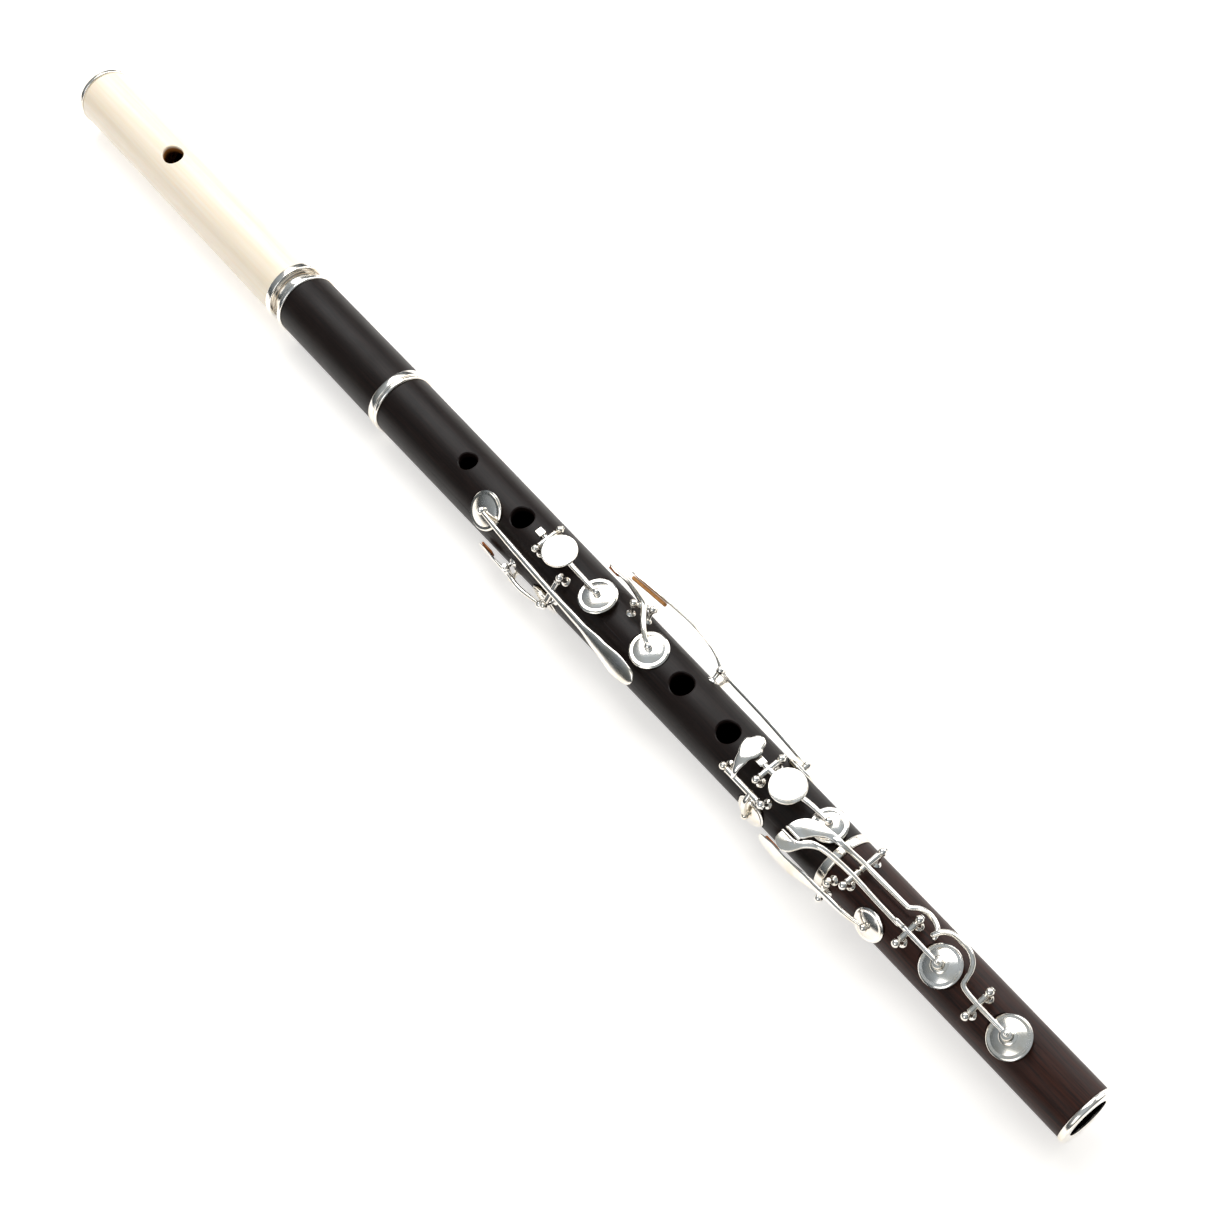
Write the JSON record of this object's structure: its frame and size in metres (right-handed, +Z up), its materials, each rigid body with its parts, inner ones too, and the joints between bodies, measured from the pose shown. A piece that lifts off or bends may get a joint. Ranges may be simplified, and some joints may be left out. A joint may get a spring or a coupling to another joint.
{
  "type": "concert flute",
  "caption": "Transverse concert flute with a pale head joint on a tuning slide, dark wooden barrel, body and foot, metal rings and sprung keys on ball-headed pillars.",
  "frame": {"origin": "under the middle of the flute's box, on the plane it lies on", "axes": "+X along the bore from the crown to the foot, +Z up through the finger holes, -Y towards the player"},
  "size_m": [0.6692, 0.0422, 0.0369],
  "materials": {
    "ivory": "polished ivory",
    "blackwood": "oiled and polished",
    "silver": "polished",
    "steel": "polished",
    "cork": "matt cork",
    "pad_leather": "matt"
  },
  "bodies": {
    "flute_body": {"body_tube": "blackwood", "upper_tenon_cork": "cork", "lower_tenon_cork": "cork", "c_natural_pivot": "steel", "b_flat_thumb_pivot": "steel", "left_third_pivot": "steel", "g_sharp_pivot": "steel", "long_f_pivot": "steel", "short_f_pivot": "steel", "right_third_pivot": "steel"},
    "barrel": {"barrel_tube": "blackwood", "barrel_top_ring": "silver", "barrel_socket_ring": "silver", "tuning_slide": "silver"},
    "head_joint": {"head_tube": "ivory", "cap_ring": "silver", "head_socket_ring": "silver", "head_slide_sleeve": "silver"},
    "crown": {"head_crown": "ivory", "stopper_cork": "cork"},
    "foot_joint": {"foot_tube": "blackwood", "foot_socket_ring": "silver", "foot_end_ring": "silver", "foot_touch_pivot": "steel", "low_c_sharp_pivot": "steel", "low_c_pivot": "steel", "e_flat_pivot": "steel"},
    "c_natural_key": {"c_natural_lever": "silver", "c_natural_pad": "pad_leather"},
    "b_flat_thumb_key": {"b_flat_thumb_lever": "silver", "b_flat_thumb_pad": "pad_leather", "b_flat_thumb_bumper": "cork"},
    "left_third_key": {"left_third_lever": "silver", "left_third_pad": "pad_leather"},
    "g_sharp_key": {"g_sharp_lever": "silver", "g_sharp_pad": "pad_leather", "g_sharp_bumper": "cork"},
    "long_f_key": {"long_f_lever": "silver", "long_f_pad": "pad_leather", "long_f_bumper": "cork"},
    "short_f_key": {"short_f_lever": "silver", "short_f_pad": "pad_leather"},
    "right_third_key": {"right_third_lever": "silver", "right_third_pad": "pad_leather"},
    "low_c_sharp_touch_key": {"low_c_sharp_touch": "silver"},
    "low_c_touch_key": {"low_c_touch": "silver"},
    "low_c_sharp_cup_key": {"low_c_sharp_lever": "silver", "low_c_sharp_pad": "pad_leather"},
    "low_c_cup_key": {"low_c_lever": "silver", "low_c_pad": "pad_leather"},
    "e_flat_key": {"e_flat_lever": "silver", "e_flat_pad": "pad_leather", "e_flat_bumper": "cork"}
  },
  "joints": [
    {"name": "barrel_pull", "type": "slide", "parent": "flute_body", "child": "barrel", "axis": [-1, 0, 0], "range_m": [0, 0.019]},
    {"name": "tuning_slide_pull", "type": "slide", "parent": "barrel", "child": "head_joint", "axis": [-1, 0, 0], "range_m": [-0.0055, 0.022]},
    {"name": "crown_draw", "type": "slide", "parent": "head_joint", "child": "crown", "axis": [-1, 0, 0], "range_m": [0, 0.006]},
    {"name": "foot_joint_pull", "type": "slide", "parent": "flute_body", "child": "foot_joint", "axis": [1, 0, 0], "range_m": [0, 0.018]},
    {"name": "c_natural_key_turn", "type": "hinge", "parent": "flute_body", "child": "c_natural_key", "pos_m": [0.05149, -0.01449, 0.02805], "axis": [0, 0.7193, 0.6947], "range_deg": [0, 4], "stiffness_Nm_per_rad": 0.05, "springref_deg": -11.46},
    {"name": "b_flat_thumb_key_turn", "type": "hinge", "parent": "flute_body", "child": "b_flat_thumb_key", "pos_m": [0.02418, -0.01871, 0.01361], "axis": [0, -0.0872, 0.9962], "range_deg": [-5.5, 0], "stiffness_Nm_per_rad": 0.05, "springref_deg": 11.46},
    {"name": "left_third_key_turn", "type": "hinge", "parent": "flute_body", "child": "left_third_key", "pos_m": [0.03403, -0.00196, 0.03322], "axis": [0, 1, 0], "range_deg": [0, 4.3], "stiffness_Nm_per_rad": 0.05, "springref_deg": -11.46},
    {"name": "g_sharp_key_turn", "type": "hinge", "parent": "flute_body", "child": "g_sharp_key", "pos_m": [0.08358, 0.00744, 0.03169], "axis": [0.7764, 0.5475, -0.3122], "range_deg": [-6, 0], "stiffness_Nm_per_rad": 0.05, "springref_deg": 11.46},
    {"name": "long_f_key_turn", "type": "hinge", "parent": "flute_body", "child": "long_f_key", "pos_m": [0.12271, 0.01486, 0.01958], "axis": [0, 0.2588, -0.9659], "range_deg": [-4, 0], "stiffness_Nm_per_rad": 0.05, "springref_deg": 11.46},
    {"name": "short_f_key_turn", "type": "hinge", "parent": "flute_body", "child": "short_f_key", "pos_m": [0.16662, -0.01277, 0.02916], "axis": [1, 0, 0], "range_deg": [-12, 0], "stiffness_Nm_per_rad": 0.05, "springref_deg": 11.46},
    {"name": "right_third_key_turn", "type": "hinge", "parent": "flute_body", "child": "right_third_key", "pos_m": [0.16972, -0.00196, 0.0324], "axis": [0, 1, 0], "range_deg": [0, 3.8], "stiffness_Nm_per_rad": 0.05, "springref_deg": -11.46},
    {"name": "low_c_sharp_touch_turn", "type": "hinge", "parent": "foot_joint", "child": "low_c_sharp_touch_key", "pos_m": [0.22164, -0.00225, 0.03163], "axis": [0, 0.9998, 0.0175], "range_deg": [-2.23, 0], "stiffness_Nm_per_rad": 0.05, "springref_deg": 11.46},
    {"name": "low_c_touch_turn", "type": "hinge", "parent": "foot_joint", "child": "low_c_touch_key", "pos_m": [0.22164, -0.00225, 0.03163], "axis": [0, 0.9998, 0.0175], "range_deg": [-7.3, 0], "stiffness_Nm_per_rad": 0.05, "springref_deg": 11.46},
    {"name": "low_c_sharp_cup_turn", "type": "hinge", "parent": "foot_joint", "child": "low_c_sharp_cup_key", "pos_m": [0.24959, -0.00633, 0.03136], "axis": [0, 0.9659, 0.2588], "range_deg": [0, 9.5]},
    {"name": "low_c_cup_turn", "type": "hinge", "parent": "foot_joint", "child": "low_c_cup_key", "pos_m": [0.28463, -0.0063, 0.03126], "axis": [0, 0.9659, 0.2588], "range_deg": [0, 9.5]},
    {"name": "e_flat_key_turn", "type": "hinge", "parent": "foot_joint", "child": "e_flat_key", "pos_m": [0.21556, -0.01646, 0.02252], "axis": [0, 0.5, 0.866], "range_deg": [-5.2, 0], "stiffness_Nm_per_rad": 0.05, "springref_deg": 11.46}
  ],
  "couplings": [
    {"joint": "low_c_sharp_cup_turn", "follows": "low_c_sharp_touch_turn", "ratio": -4.26},
    {"joint": "low_c_cup_turn", "follows": "low_c_touch_turn", "ratio": -1.301}
  ]
}
